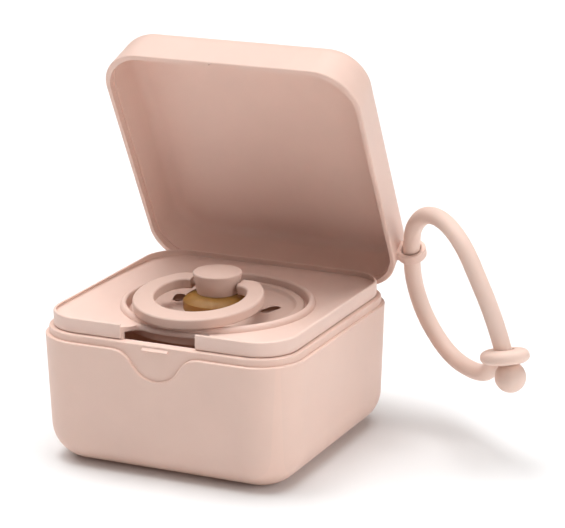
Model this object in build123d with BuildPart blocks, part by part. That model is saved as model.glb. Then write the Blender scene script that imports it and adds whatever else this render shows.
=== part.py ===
"""Pacifier sterilizer case: a square box with a hinged lid, a lift-out tray with the pacifier
in its round seat, and a silicone strap in an eye on the lid.

Millimetres. Origin: centre of the face that the case rests on. X right, Y back, Z up.
The lid stands open by lid_rest_angle; its own features are drawn at the height that they have
with the lid closed, on planes that turn with it."""

import math
import os
from build123d import *

# ---------------------------------------------------------------- driving dimensions
# Base
case_size = 70.0  # width and depth at the rim
base_height = 32.8  # resting face up to the rim that the lid closes on
corner_radius = 12.0  # plan corners at the rim
side_draft = 2.26  # degrees that the sides lean in towards the foot
foot_round = 9.6  # rounding between the sides and the foot
floor_thickness = 2.2
rim_step = 0.96  # ledge outside the band
rim_round = 0.4  # softened outer edges of the rim
band_thickness = 1.7  # upright band that the lid slips over
band_height = 1.9
shelf_drop = 8.8  # step inside that carries the tray, below the rim
shelf_width = 1.2
chamber_round = 7.0  # rounding between the chamber's walls and floor
# Thumb recess and latch bead at the front
recess_width = 23.4
recess_depth = 7.06
recess_shoulder = 6.0  # radius where the recess curves away from the rim
latch_width = 7.0
latch_depth = 0.65  # how far the bead stands out of the band
latch_rise = 0.7  # the bead's point above the rim
latch_clearance = 0.2  # round the bead in the lid's groove
# Lid
lid_rest_angle = 63.3  # degrees open from closed
lid_overhang = 0.4  # how far the lid's rim stands proud of the base on each side
lid_height = 13.6
lid_corner_radius = 11.6
lid_draft = 5.7  # degrees
lid_top_round = 4.8
lid_wall = 1.6
lid_top_thickness = 1.3
lid_inner_round = 3.0
lid_seam = 0.1  # gap between the closed lid and the base's rim
band_clearance = 0.16  # around the band inside the lid's rim
# Hinge
hinge_offset = 1.0  # hinge axis behind the base's back
hinge_rise = 0.3  # hinge axis above the base's rim
knuckle_radius = 2.2
knuckle_gap = 0.25  # around and beside each knuckle
lid_knuckle_width = 15.6
base_knuckle_width = 7.0
gusset_drop = 6.4
pin_radius = 0.9
pin_clearance = 0.06
pin_recess = 0.3
# Strap eye on the lid's right wall, placed as on the closed lid
eye_offset = 3.0  # middle of the eye outside the lid's side
eye_from_hinge = 10.7
eye_rise = 4.6  # above the base's rim
eye_hole_radius = 2.6
eye_wall = 1.2
eye_width = 2.6
eye_round = 0.45
# Tray
tray_clearance = 0.2
tray_wall = 1.6
tray_rise = 5.8  # tray rim above the base's rim
tray_lip = 0.75  # how far the tray's upper part reaches out over the band
tray_lip_gap = 0.15  # between that part and the band's top
tray_edge_round = 0.4
rim_land = 0.7  # flat top of the tray's rim
rim_lip = 0.8  # upright inside of the rim, down to the deck
deck_rise = 3.0  # deck at the foot of the collar, above the base's rim
deck_thickness = 1.5
collar_flat = 0.2  # level strip of deck round the collar's foot
slot_width = 20.4
slot_corner_radius = 1.5
slot_land = 1.5  # strip of deck left between the slot and the collar
# Round seat in the tray
shield_radius = 22.0
shield_gap = 1.0
collar_thickness = 1.15
collar_rise = 1.4  # above the deck's foot
collar_round = 0.46
seat_hole_radius = 19.5
seat_ledge_thickness = 1.5
# Pacifier shield
shield_thickness = 1.8
shield_round = 0.72
shield_rim_width = 2.3
shield_dish_depth = 0.9
shield_dish_width = 1.4
shield_web_thickness = 1.5
neck_radius = 5.9
neck_clearance = 0.15
vent_offset = 12.9  # to each side
vent_shift = 3.6  # towards the back
vent_lean = 18  # degrees that the back ends turn outwards
vent_length = 6.4
vent_width = 2.8
# Nipple
flange_radius = 8.75
flange_side = 2.3
flange_dome = 1.8
dome_fullness = 0.62  # where the flange's arc passes, as a share of its width and height
lip_radius = 7.4
lip_thickness = 1.2
teat_neck_radius = 4.4
teat_neck_length = 8.0
bulb_radius = 8.2
bulb_shoulder = 50  # degrees above the bulb's middle where its neck begins
nipple_reach = 26.4  # tip below the underside of the shield's web
teat_wall = 1.15
# Knob and its stem
knob_radius = 6.3
knob_foot_radius = 5.2
knob_height = 5.7
knob_dome = 0.3
knob_round = 0.4
stem_radius = 3.2
stem_length = 9.0
stem_clearance = 0.05
# Ring handle
ring_outer_radius = 16.4
ring_inner_radius = 11.6
ring_hole_shift = 1.1  # finger hole's centre behind the ring's
ring_offset = 10.7  # ring centre in front of the pivot
ring_thickness = 2.7
ring_round = 0.5
ring_tilt = 5.7  # degrees that it droops to the front
ring_arm_half = 2.15
ring_inner_corner = 4.2
ring_outer_corner = 3.4
knob_clearance = 0.3
pivot_drop = 3.7  # pivot axis below the knob's top
pivot_radius = 1.0
pivot_clearance = 0.06
pivot_depth = 2.0
# Strap
strap_diameter = 4.4
ring_end_radius = 6.3
ring_end_thickness = 3.2
ring_end_round = 1.4
ring_end_share = 0.49  # where the ring end sits along the last run of the upper stretch
ring_end_clearance = 0.2
end_neck_radius = 1.5  # where the neck meets the ring
ball_radius = 3.9
ball_sink = 0.35  # flat on the ball that meets the strap

# ---------------------------------------------------------------- sizes that follow
rim_z = base_height
shelf_z = rim_z - shelf_drop
hinge_y = case_size / 2 + hinge_offset
band_top = rim_z + band_height
band_size = case_size - 2 * rim_step
band_radius = corner_radius - rim_step
inner_size = band_size - 2 * band_thickness
inner_radius = band_radius - band_thickness
chamber_size = inner_size - 2 * shelf_width
chamber_radius = inner_radius - shelf_width
foot_inset = base_height * math.tan(math.radians(side_draft))
hinge_z = rim_z + hinge_rise
front_face = Plane.XZ.offset(band_size / 2)

deck_z = rim_z + deck_rise
collar_top = deck_z + collar_rise
collar_inner_radius = shield_radius + shield_gap
collar_outer_radius = collar_inner_radius + collar_thickness
seat_z = deck_z - shield_thickness
web_top = deck_z - shield_dish_depth
web_bottom = web_top - shield_web_thickness
flange_top = web_top + flange_side
knob_foot = flange_top + flange_dome
knob_top = knob_foot + knob_height
knob_edge = knob_top - knob_dome
pivot_z = knob_top - pivot_drop

# ---------------------------------------------------------------- base
with BuildPart() as thumb_recess:
    half_recess = recess_width / 2
    bowl_span = (half_recess**2 + recess_depth**2) / (2 * recess_depth)
    bowl_radius = bowl_span - recess_shoulder
    bowl_centre = bowl_radius - recess_depth
    join_x = half_recess * bowl_radius / bowl_span
    join_z = bowl_centre - (bowl_centre + recess_shoulder) * bowl_radius / bowl_span
    with BuildSketch(front_face):
        with BuildLine():
            bowl = ThreePointArc(
                (-join_x, rim_z + join_z), (0, rim_z - recess_depth), (join_x, rim_z + join_z)
            )
            right = TangentArc(bowl @ 1, (half_recess, rim_z), tangent=bowl % 1)
            left = TangentArc(bowl @ 0, (-half_recess, rim_z), tangent=(bowl % 0) * -1)
            Polyline(right @ 1, (half_recess, band_top), (-half_recess, band_top), left @ 1)
        make_face()
    extrude(amount=2 * rim_step)

with BuildPart() as chamber:
    with BuildSketch(Plane.XY.offset(floor_thickness)):
        RectangleRounded(chamber_size, chamber_size, chamber_radius)
    extrude(amount=band_top - floor_thickness)
    fillet(chamber.edges().group_by(Axis.Z)[0], chamber_round)


def on_outer_rim(edge):
    """True for the rim's outer edges and for the recess's outline on the outer face."""
    lowest = min(corner.Z for corner in edge.vertices())
    innermost = min(max(abs(corner.X), abs(corner.Y)) for corner in edge.vertices())
    return lowest > rim_z - recess_depth and innermost > (band_size + rim_step) / 2


with BuildPart() as base_shell:
    with BuildSketch(Plane.XY):
        RectangleRounded(
            case_size - 2 * foot_inset, case_size - 2 * foot_inset, corner_radius - foot_inset
        )
    extrude(amount=base_height, taper=-side_draft)
    fillet(base_shell.edges().group_by(Axis.Z)[0], foot_round)
    add(thumb_recess.part, mode=Mode.SUBTRACT)
    fillet(base_shell.edges().filter_by(on_outer_rim), rim_round)
    with BuildSketch(Plane.XY.offset(rim_z)):
        RectangleRounded(band_size, band_size, band_radius)
    extrude(amount=band_height)
    fillet(base_shell.edges().group_by(Axis.Z)[-1], rim_round)
    with BuildSketch(Plane.XY.offset(shelf_z)):
        RectangleRounded(inner_size, inner_size, inner_radius)
    extrude(amount=band_top - shelf_z, mode=Mode.SUBTRACT)
    add(chamber.part, mode=Mode.SUBTRACT)
    # latch bead on the band, a wedge that the lid's rim rides over
    with BuildSketch(Plane.YZ.offset(-latch_width / 2)):
        with BuildLine():
            Polyline(
                (-band_size / 2 + latch_depth, band_top - rim_round / 4),
                (-band_size / 2 - latch_depth, rim_z + latch_rise),
                (-band_size / 2, rim_z + latch_rise / 2),
                (-band_size / 2 + latch_depth, rim_z + latch_rise),
                close=True,
            )
        make_face()
    extrude(amount=latch_width)
    # knuckles behind the rim, each on a gusset, and room for the lid's knuckle between them
    knuckle_inner = lid_knuckle_width / 2 + knuckle_gap
    for side in (-1, 1):
        near_end = Plane.YZ.offset(side * (knuckle_inner + base_knuckle_width / 2))
        with BuildSketch(near_end):
            with Locations((hinge_y, hinge_z)):
                Circle(knuckle_radius)
            with BuildLine():
                Polyline(
                    (hinge_y + knuckle_radius, hinge_z),
                    (case_size / 2 - foot_inset, hinge_z - gusset_drop),
                    (case_size / 2 - foot_inset, hinge_z),
                    close=True,
                )
            make_face()
        extrude(amount=base_knuckle_width / 2, both=True)
    with BuildSketch(Plane.YZ):
        with Locations((hinge_y, hinge_z)):
            Circle(knuckle_radius + knuckle_gap)
    extrude(amount=knuckle_inner, both=True, mode=Mode.SUBTRACT)
    with BuildSketch(Plane.YZ):
        with Locations((hinge_y, hinge_z)):
            Circle(pin_radius + pin_clearance)
    extrude(amount=case_size / 2, both=True, mode=Mode.SUBTRACT)
base_shell.part.label = "base_shell"

# ---------------------------------------------------------------- lid
lean = math.radians(lid_rest_angle)
lid_up = (0, math.sin(lean), math.cos(lean))
hinge_plane = Plane((0, hinge_y, hinge_z), x_dir=(1, 0, 0), z_dir=lid_up)
lid_floor = Plane(
    hinge_plane.from_local_coords(Vector(0, -hinge_y, -hinge_z)), x_dir=(1, 0, 0), z_dir=lid_up
)
lid_rim = rim_z + lid_seam
lid_top = rim_z + lid_height
lid_size = case_size + 2 * lid_overhang
rebate_size = band_size + 2 * band_clearance
lid_side = Plane(lid_floor.origin, x_dir=lid_floor.y_dir, z_dir=(1, 0, 0))
groove_depth = latch_depth + latch_clearance - band_clearance
eye_x = lid_size / 2 + eye_offset
eye_z = rim_z + eye_rise
eye_middle = lid_floor.from_local_coords(Vector(eye_x, hinge_y - eye_from_hinge, eye_z))
eye_axis = lid_floor.y_dir * -1

with BuildPart() as lid_hollow:
    with BuildSketch(lid_floor.offset(lid_rim)):
        RectangleRounded(
            lid_size - 2 * lid_wall, lid_size - 2 * lid_wall, lid_corner_radius - lid_wall
        )
    extrude(amount=lid_top - lid_top_thickness - lid_rim, taper=lid_draft)
    fillet(lid_hollow.edges().group_by(Axis(lid_floor.origin, lid_up))[-1], lid_inner_round)

# eye for the strap: a short tube on a root that runs into the lid's wall
with BuildPart() as strap_eye:
    with BuildSketch(Plane(eye_middle, x_dir=(1, 0, 0), z_dir=eye_axis)):
        Circle(eye_hole_radius + eye_wall)
        with Locations((-(eye_offset + lid_wall) / 2, 0)):
            Rectangle(eye_offset + lid_wall, 2 * eye_hole_radius)
        Circle(eye_hole_radius, mode=Mode.SUBTRACT)
    extrude(amount=eye_width / 2, both=True)
    fillet(strap_eye.edges().group_by(Axis(eye_middle, eye_axis))[-1], eye_round)
    fillet(strap_eye.edges().group_by(Axis(eye_middle, eye_axis))[0], eye_round)

with BuildPart() as lid:
    with BuildSketch(lid_floor.offset(lid_rim)):
        RectangleRounded(lid_size, lid_size, lid_corner_radius)
    extrude(amount=lid_top - lid_rim, taper=lid_draft)
    lid_axis = Axis(lid_floor.origin, lid_up)
    fillet(lid.edges().group_by(lid_axis)[-1], lid_top_round)
    fillet(lid.edges().group_by(lid_axis)[0], rim_round)
    add(strap_eye.part)
    with BuildSketch(Plane(eye_middle, x_dir=(1, 0, 0), z_dir=eye_axis)):
        Circle(eye_hole_radius)
    extrude(amount=eye_width, both=True, mode=Mode.SUBTRACT)
    # middle knuckle on its gusset
    with BuildSketch(lid_side):
        with Locations((hinge_y, hinge_z)):
            Circle(knuckle_radius)
        with BuildLine():
            Polyline(
                (hinge_y + knuckle_radius, hinge_z),
                (lid_size / 2 - rim_step, hinge_z + gusset_drop),
                (lid_size / 2 - rim_step, hinge_z),
                close=True,
            )
        make_face()
    extrude(amount=lid_knuckle_width / 2, both=True)
    add(lid_hollow.part, mode=Mode.SUBTRACT)
    # rebate that slips over the band, with a groove for the latch bead
    with BuildSketch(lid_floor.offset(lid_rim - lid_seam)):
        RectangleRounded(rebate_size, rebate_size, band_radius + band_clearance)
        with Locations((0, -rebate_size / 2)):
            Rectangle(latch_width + 2 * latch_clearance, 2 * groove_depth)
    extrude(amount=band_height + lid_seam, mode=Mode.SUBTRACT)
    # room for the base's knuckles
    for side in (-1, 1):
        beside = knuckle_inner + base_knuckle_width / 2
        with BuildSketch(lid_side.offset(side * beside)):
            with Locations((hinge_y, hinge_z)):
                Circle(knuckle_radius + knuckle_gap)
        extrude(amount=base_knuckle_width / 2 + knuckle_gap, both=True, mode=Mode.SUBTRACT)
    with BuildSketch(lid_side):
        with Locations((hinge_y, hinge_z)):
            Circle(pin_radius + pin_clearance)
    extrude(amount=lid_knuckle_width, both=True, mode=Mode.SUBTRACT)
lid.part.label = "lid"

with BuildPart() as hinge_pin:
    with BuildSketch(Plane.YZ):
        with Locations((hinge_y, hinge_z)):
            Circle(pin_radius)
    extrude(amount=knuckle_inner + base_knuckle_width - pin_recess, both=True)
hinge_pin.part.label = "hinge_pin"

# ---------------------------------------------------------------- tray
tray_size = inner_size - 2 * tray_clearance
tray_radius = inner_radius - tray_clearance
tray_top = rim_z + tray_rise
lip_foot = band_top + tray_lip_gap
lip_size = tray_size + 2 * tray_lip
lip_corner = tray_radius + tray_lip
dish_size = lip_size - 2 * rim_land
dish_top = tray_top - rim_lip
collar_foot = 2 * (collar_outer_radius + collar_flat)

with BuildPart() as dish:
    with BuildSketch(Plane.XY.offset(deck_z)):
        RectangleRounded(collar_foot, collar_foot, collar_outer_radius)
    with BuildSketch(Plane.XY.offset(dish_top)):
        RectangleRounded(dish_size, dish_size, lip_corner - rim_land)
    loft(ruled=True)
    with BuildSketch(Plane.XY.offset(dish_top)):
        RectangleRounded(dish_size, dish_size, lip_corner - rim_land)
    extrude(amount=rim_lip)

with BuildPart() as tray_hollow:
    with BuildSketch(Plane.XY.offset(shelf_z)):
        RectangleRounded(
            tray_size - 2 * tray_wall, tray_size - 2 * tray_wall, tray_radius - tray_wall
        )
    extrude(amount=dish_top - deck_thickness - shelf_z)
    add(dish.part.moved(Location((0, 0, -deck_thickness))), mode=Mode.SUBTRACT)

with BuildPart() as sterilizer_tray:
    with BuildSketch(Plane.XY.offset(shelf_z)):
        RectangleRounded(tray_size, tray_size, tray_radius)
    extrude(amount=tray_top - shelf_z)
    with BuildSketch(Plane.XY.offset(lip_foot)):
        RectangleRounded(lip_size, lip_size, lip_corner)
    extrude(amount=tray_top - lip_foot)
    fillet(sterilizer_tray.edges().group_by(Axis.Z)[-1], tray_edge_round)
    add(dish.part, mode=Mode.SUBTRACT)
    add(tray_hollow.part, mode=Mode.SUBTRACT)
    # slot through the front wall and the deck, up to a strip that follows the collar
    with BuildSketch(Plane.XY.offset(deck_z - deck_thickness)):
        with Locations((0, -tray_size / 2)):
            Rectangle(slot_width, tray_size)
        Circle(collar_outer_radius + slot_land, mode=Mode.SUBTRACT)
        inner_corners = [v for v in vertices() if v.Y > -tray_size / 2 + tray_wall]
        fillet([v for v in inner_corners if v.Y < 0], slot_corner_radius)
    extrude(amount=tray_rise, mode=Mode.SUBTRACT)
    # seat: collar, wall and ledge in one turned section
    with BuildSketch(Plane.XZ):
        with BuildLine():
            Polyline(
                (collar_outer_radius, seat_z - seat_ledge_thickness),
                (collar_outer_radius, collar_top),
                (collar_inner_radius, collar_top),
                (collar_inner_radius, seat_z),
                (seat_hole_radius, seat_z),
                (seat_hole_radius, seat_z - seat_ledge_thickness),
                close=True,
            )
        make_face()
    revolve(axis=Axis.Z)
    with BuildSketch(Plane.XY.offset(seat_z)):
        Circle(collar_inner_radius)
    extrude(amount=tray_rise, mode=Mode.SUBTRACT)
    with BuildSketch(Plane.XY.offset(seat_z - seat_ledge_thickness)):
        Circle(seat_hole_radius)
    extrude(amount=tray_rise, mode=Mode.SUBTRACT)
    collar_edges = sterilizer_tray.edges().filter_by(GeomType.CIRCLE)
    collar_edges = collar_edges.filter_by(lambda e: abs(e.center().Z - collar_top) < 0.01)
    fillet(collar_edges, collar_round)
sterilizer_tray.part.label = "sterilizer_tray"

# ---------------------------------------------------------------- pacifier
rim_inner = shield_radius - shield_rim_width
dish_foot = rim_inner - shield_dish_width
web_radius = seat_hole_radius - tray_clearance

with BuildPart() as pacifier_shield:
    with BuildSketch(Plane.XZ):
        with BuildLine():
            Polyline(
                (neck_radius + neck_clearance, web_bottom),
                (web_radius - shield_web_thickness, web_bottom),
                (web_radius, seat_z),
                (shield_radius, seat_z),
                (shield_radius, deck_z),
                (rim_inner, deck_z),
                (dish_foot, web_top),
                (neck_radius + neck_clearance, web_top),
                close=True,
            )
        make_face()
    revolve(axis=Axis.Z)
    shield_edges = pacifier_shield.edges().filter_by(GeomType.CIRCLE)
    outer_edge = shield_edges.filter_by(lambda e: abs(e.center().Z - deck_z) < 0.01)
    fillet(outer_edge.sort_by(SortBy.RADIUS)[-1], shield_round)
    with BuildSketch(Plane.XY.offset(web_bottom)):
        for side in (-1, 1):
            with Locations((side * vent_offset, vent_shift)):
                SlotOverall(vent_length, vent_width, rotation=90 - side * vent_lean)
    extrude(amount=shield_thickness * 2, mode=Mode.SUBTRACT)
pacifier_shield.part.label = "pacifier_shield"

bore_radius = stem_radius + stem_clearance
tip_z = web_bottom - nipple_reach
bulb_z = tip_z + bulb_radius
cavity_radius = bulb_radius - teat_wall
lip_bottom = web_bottom - lip_thickness
shoulder = math.radians(bulb_shoulder)
teat_z = lip_bottom - teat_neck_length
bore_meets = bulb_z + math.sqrt(cavity_radius**2 - bore_radius**2)

with BuildPart() as pacifier_nipple:
    with BuildSketch(Plane.XZ):
        with BuildLine():
            Polyline(
                (bore_radius, bore_meets),
                (bore_radius, knob_foot),
                (knob_foot_radius, knob_foot),
            )
            ThreePointArc(
                (knob_foot_radius, knob_foot),
                (
                    knob_foot_radius + dome_fullness * (flange_radius - knob_foot_radius),
                    flange_top + dome_fullness * flange_dome,
                ),
                (flange_radius, flange_top),
            )
            Polyline(
                (flange_radius, flange_top),
                (flange_radius, web_top),
                (neck_radius, web_top),
                (neck_radius, web_bottom),
                (lip_radius, web_bottom),
                (lip_radius, lip_bottom),
                (teat_neck_radius, lip_bottom),
                (teat_neck_radius, teat_z),
            )
            bulb_top = (
                bulb_radius * math.cos(shoulder),
                bulb_z + bulb_radius * math.sin(shoulder),
            )
            Line((teat_neck_radius, teat_z), bulb_top)
            ThreePointArc(bulb_top, (bulb_radius, bulb_z), (0, tip_z))
            Line((0, tip_z), (0, tip_z + teat_wall))
            ThreePointArc(
                (0, tip_z + teat_wall), (cavity_radius, bulb_z), (bore_radius, bore_meets)
            )
        make_face()
    revolve(axis=Axis.Z)
pacifier_nipple.part.label = "pacifier_nipple"

with BuildPart() as pacifier_knob:
    with BuildSketch(Plane.XZ):
        with BuildLine():
            ThreePointArc(
                (0, knob_top),
                (knob_radius / 2, knob_top - knob_dome / 4),
                (knob_radius, knob_edge),
            )
            Polyline(
                (knob_radius, knob_edge),
                (knob_foot_radius, knob_foot),
                (stem_radius, knob_foot),
                (stem_radius, knob_foot - stem_length),
                (0, knob_foot - stem_length),
                (0, knob_top),
            )
        make_face()
    revolve(axis=Axis.Z)
    top_edge = pacifier_knob.edges().filter_by(lambda e: abs(e.center().Z - knob_edge) < 0.01)
    fillet(top_edge, knob_round)
    # pivot hole for the ring handle, from side to side
    with BuildSketch(Plane.YZ):
        with Locations((0, pivot_z)):
            Circle(pivot_radius + pivot_clearance)
    extrude(amount=knob_radius, both=True, mode=Mode.SUBTRACT)
pacifier_knob.part.label = "pacifier_knob"

tilt = math.radians(ring_tilt)
ring_plane = Plane((0, 0, pivot_z), x_dir=(1, 0, 0), z_dir=(0, -math.sin(tilt), math.cos(tilt)))
arm_x = knob_radius + knob_clearance

with BuildPart() as pacifier_ring:
    with BuildSketch(ring_plane.offset(-ring_thickness / 2)):
        with Locations((0, -ring_offset)):
            Circle(ring_outer_radius)
        with Locations((0, ring_arm_half + ring_outer_radius)):
            Rectangle(2 * ring_outer_radius, 2 * ring_outer_radius, mode=Mode.SUBTRACT)
        fillet(vertices(), ring_outer_corner)
    extrude(amount=ring_thickness)
    with BuildSketch(ring_plane.offset(-ring_thickness / 2)) as finger_hole:
        with Locations((0, ring_hole_shift - ring_offset)):
            Circle(ring_inner_radius)
        with Locations((0, -ring_arm_half + ring_outer_radius)):
            Rectangle(2 * ring_outer_radius, 2 * ring_outer_radius, mode=Mode.SUBTRACT)
        fillet(vertices(), ring_inner_corner)
    extrude(amount=ring_thickness, mode=Mode.SUBTRACT)
    ring_up = Axis((0, 0, 0), ring_plane.z_dir)
    fillet(pacifier_ring.edges().group_by(ring_up)[-1], ring_round)
    fillet(pacifier_ring.edges().group_by(ring_up)[0], ring_round)
    # room for the knob, and the pivot studs that snap into it
    with BuildSketch(ring_plane.offset(-ring_thickness)):
        Rectangle(2 * arm_x, 4 * ring_arm_half)
    extrude(amount=2 * ring_thickness, mode=Mode.SUBTRACT)
    for side in (-1, 1):
        with BuildSketch(Plane.YZ.offset(side * (arm_x + pivot_radius))):
            with Locations((0, pivot_z)):
                Circle(pivot_radius)
        extrude(amount=-side * (pivot_radius + knob_clearance + pivot_depth))
pacifier_ring.part.label = "pacifier_ring"

# ---------------------------------------------------------------- strap
# One moulded silicone cord: the upper stretch ends in the ball, the lower one in the ring
# that the upper one passes through. Both start in the middle of the lid's eye, and their
# corners are measured from there.
upper_run = [
    (0, 0, 0),
    (0.9, -2.4, 5.1),
    (3.6, -6.3, 9.7),
    (8.1, -11.4, 13.7),
    (13.6, -16.3, 15.0),
    (19.1, -20.3, 13.3),
    (23.8, -22.9, 8.8),
    (27.1, -23.7, 2.6),
    (30.4, -24.3, -3.8),
    (32.7, -24.2, -10.0),
    (34.0, -23.8, -14.7),
    (35.0, -23.7, -18.2),
]
lower_run = [
    (0, 0, 0),
    (-0.9, 2.4, -5.1),
    (-0.5, 4.2, -11.2),
    (1.8, 4.1, -17.2),
    (5.6, 2.6, -22.1),
    (10.2, -0.3, -25.4),
    (15.0, -3.9, -26.8),
    (19.8, -7.9, -26.8),
    (24.1, -11.8, -25.9),
    (27.3, -15.1, -23.9),
    (29.6, -18.1, -20.7),
]
upper_route = [eye_middle + Vector(*step) for step in upper_run]
lower_route = [eye_middle + Vector(*step) for step in lower_run]


def corner_radii(route):
    """One radius for each corner of a route: 0.45 of its shorter run over tan(half the turn)."""
    radii = []
    for before, corner, after in zip(route, route[1:], route[2:]):
        run_in = corner - before
        run_out = after - corner
        half_turn = math.radians(run_in.get_angle(run_out)) / 2
        radii.append(0.45 * min(run_in.length, run_out.length) / math.tan(half_turn))
    return radii


for name, route in (("upper", upper_route), ("lower", lower_route)):
    print(name, "strap radii:", [round(r, 1) for r in corner_radii(route)])

with BuildPart() as strap_upper:
    with BuildLine():
        upper_path = FilletPolyline(*upper_route, radius=corner_radii(upper_route))
    with BuildSketch(Plane(upper_path @ 0, z_dir=upper_path % 0)):
        Circle(strap_diameter / 2)
    sweep(path=upper_path)
strap_upper.part.label = "strap_upper"

with BuildPart() as strap_lower:
    with BuildLine():
        lower_path = FilletPolyline(*lower_route, radius=corner_radii(lower_route))
    with BuildSketch(Plane(lower_path @ 0, z_dir=lower_path % 0)):
        Circle(strap_diameter / 2)
    sweep(path=lower_path)
strap_lower.part.label = "strap_lower"

strap_section = math.pi * strap_diameter**2 / 4
for piece, path in ((strap_upper, upper_path), (strap_lower, lower_path)):
    print("strap length", round(path.length, 1), "volume", round(piece.part.volume, 1),
          "of", round(strap_section * path.length, 1))

last_run = upper_route[-1] - upper_route[-2]
ring_centre = upper_route[-2] + last_run * ring_end_share
neck_start = lower_route[-1]
to_neck = neck_start - ring_centre
neck_side = to_neck - last_run.normalized() * to_neck.dot(last_run.normalized())
end_plane = Plane(ring_centre, x_dir=neck_side, z_dir=last_run)
neck_reach = ring_centre + neck_side.normalized() * (ring_end_radius - ring_end_round)

with BuildPart() as strap_ring_end:
    with BuildSketch(end_plane.offset(-ring_end_thickness / 2)):
        Circle(ring_end_radius)
    extrude(amount=ring_end_thickness)
    fillet(strap_ring_end.edges().group_by(Axis((0, 0, 0), last_run))[-1], ring_end_round)
    fillet(strap_ring_end.edges().group_by(Axis((0, 0, 0), last_run))[0], ring_end_round)
    # neck from the lower stretch's end into the side of the ring
    with BuildSketch(Plane(neck_start, z_dir=lower_path % 1)):
        Circle(strap_diameter / 2)
    with BuildSketch(Plane(neck_reach, z_dir=neck_reach - neck_start)):
        Circle(end_neck_radius)
    loft(ruled=True)
    with BuildSketch(end_plane.offset(-ring_end_radius)):
        Circle(strap_diameter / 2 + ring_end_clearance)
    extrude(amount=2 * ring_end_radius, mode=Mode.SUBTRACT)
strap_ring_end.part.label = "strap_ring_end"

strap_tip = upper_route[-1]
ball_centre = strap_tip + last_run.normalized() * (ball_radius - ball_sink)
with BuildPart() as strap_ball_end:
    with Locations(Location(ball_centre)):
        Sphere(ball_radius)
    split(bisect_by=Plane(strap_tip, z_dir=last_run), keep=Keep.TOP)
strap_ball_end.part.label = "strap_ball_end"

# ---------------------------------------------------------------- files
os.makedirs("parts", exist_ok=True)
export_step(base_shell.part, "parts/base_shell.step")
export_step(lid.part, "parts/lid.step")
export_step(hinge_pin.part, "parts/hinge_pin.step")
export_step(sterilizer_tray.part, "parts/sterilizer_tray.step")
export_step(pacifier_shield.part, "parts/pacifier_shield.step")
export_step(pacifier_nipple.part, "parts/pacifier_nipple.step")
export_step(pacifier_knob.part, "parts/pacifier_knob.step")
export_step(pacifier_ring.part, "parts/pacifier_ring.step")
export_step(strap_upper.part, "parts/strap_upper.step")
export_step(strap_lower.part, "parts/strap_lower.step")
export_step(strap_ring_end.part, "parts/strap_ring_end.step")
export_step(strap_ball_end.part, "parts/strap_ball_end.step")
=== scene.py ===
"""Looks of the pacifier sterilizer case, round its packed CAD frame.

Metres, in the CAD's frame: the case rests at Z 0, its thumb recess looks along -Y, the hinge is
behind and the strap hangs on the +X side. The lid stands open, as the frame has it."""

import math

import bmesh
import bpy
from mathutils import Matrix, Vector


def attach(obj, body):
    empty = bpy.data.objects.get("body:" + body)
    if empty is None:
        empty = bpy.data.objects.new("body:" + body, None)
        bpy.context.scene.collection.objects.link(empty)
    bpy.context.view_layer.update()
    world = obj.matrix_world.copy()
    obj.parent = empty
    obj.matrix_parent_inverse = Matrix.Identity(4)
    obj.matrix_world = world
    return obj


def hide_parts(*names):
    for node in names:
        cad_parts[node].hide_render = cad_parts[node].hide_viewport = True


bl_info = {
    "name": "Pacifier sterilizer case",
    "version": (1, 0, 0),
    "blender": (4, 5, 0),
    "location": "View3D > Sidebar > Sterilizer case",
    "description": "Dresses the case's CAD frame, tray, pacifier and strap, and sets the studio",
    "category": "Object",
}

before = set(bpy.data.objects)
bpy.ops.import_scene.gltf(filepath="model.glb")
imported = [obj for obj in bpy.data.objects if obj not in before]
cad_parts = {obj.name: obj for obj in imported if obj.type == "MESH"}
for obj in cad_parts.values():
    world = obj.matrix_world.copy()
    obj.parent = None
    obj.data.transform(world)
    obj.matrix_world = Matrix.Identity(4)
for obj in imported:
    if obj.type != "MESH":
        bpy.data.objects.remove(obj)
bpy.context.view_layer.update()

MM = 0.001
# The strap's route, from the middle of the lid's eye to each end, as the CAD model has it.
UPPER_STRETCH = [
    (0.0384, 0.0350, 0.0446),
    (0.0393, 0.0326, 0.0497),
    (0.0420, 0.0287, 0.0543),
    (0.0465, 0.0236, 0.0583),
    (0.0520, 0.0187, 0.0596),
    (0.0575, 0.0147, 0.0579),
    (0.0622, 0.0121, 0.0534),
    (0.0655, 0.0113, 0.0472),
    (0.0688, 0.0107, 0.0408),
    (0.0711, 0.0108, 0.0346),
    (0.0724, 0.0112, 0.0299),
    (0.0734, 0.0113, 0.0264),
]
LOWER_STRETCH = [
    (0.0384, 0.0350, 0.0446),
    (0.0375, 0.0374, 0.0395),
    (0.0379, 0.0392, 0.0334),
    (0.0402, 0.0391, 0.0274),
    (0.0440, 0.0376, 0.0225),
    (0.0486, 0.0347, 0.0192),
    (0.0534, 0.0311, 0.0178),
    (0.0582, 0.0271, 0.0178),
    (0.0625, 0.0232, 0.0187),
    (0.0657, 0.0199, 0.0207),
    (0.0680, 0.0169, 0.0239),
]

# Half the width of the chamber under the tray, where the finishes carry a faint painted glow.
CHAMBER_HALF = 0.0319
# Where the deck's rings lie, from the fold under the rim (0) to the foot of the collar (1).
DECK_SHARES = (0.02, 0.05, 0.09, 0.14, 0.2, 0.28, 0.37, 0.47, 0.57, 0.67, 0.77, 0.87, 0.94, 1.0)
# The dip along the back wall starts this share of the way back, and ends this share of the way in.
DIP_START = 0.2
DIP_END = 0.4
# The shield's section inside its rim bead, in millimetres outwards from the bead's inner line and
# upwards, first from the bead's top and then from the web's.
BEAD_FALL = ((0.35, 0), (0.14, -0.06), (-0.02, -0.22))
WEB_RISE = ((-0.3, 0.22), (-0.6, 0.05), (-1.0, 0))
# The section round the ring end's hole, with its small lip: millimetres outwards from the hole,
# and height as a share of half the ring's thickness.
HOLE_EDGE = ((1.4, 1), (0.45, 1.08), (0.12, 1), (0, 0.8), (0, -0.8), (0.2, -1), (1.4, -1))
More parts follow.
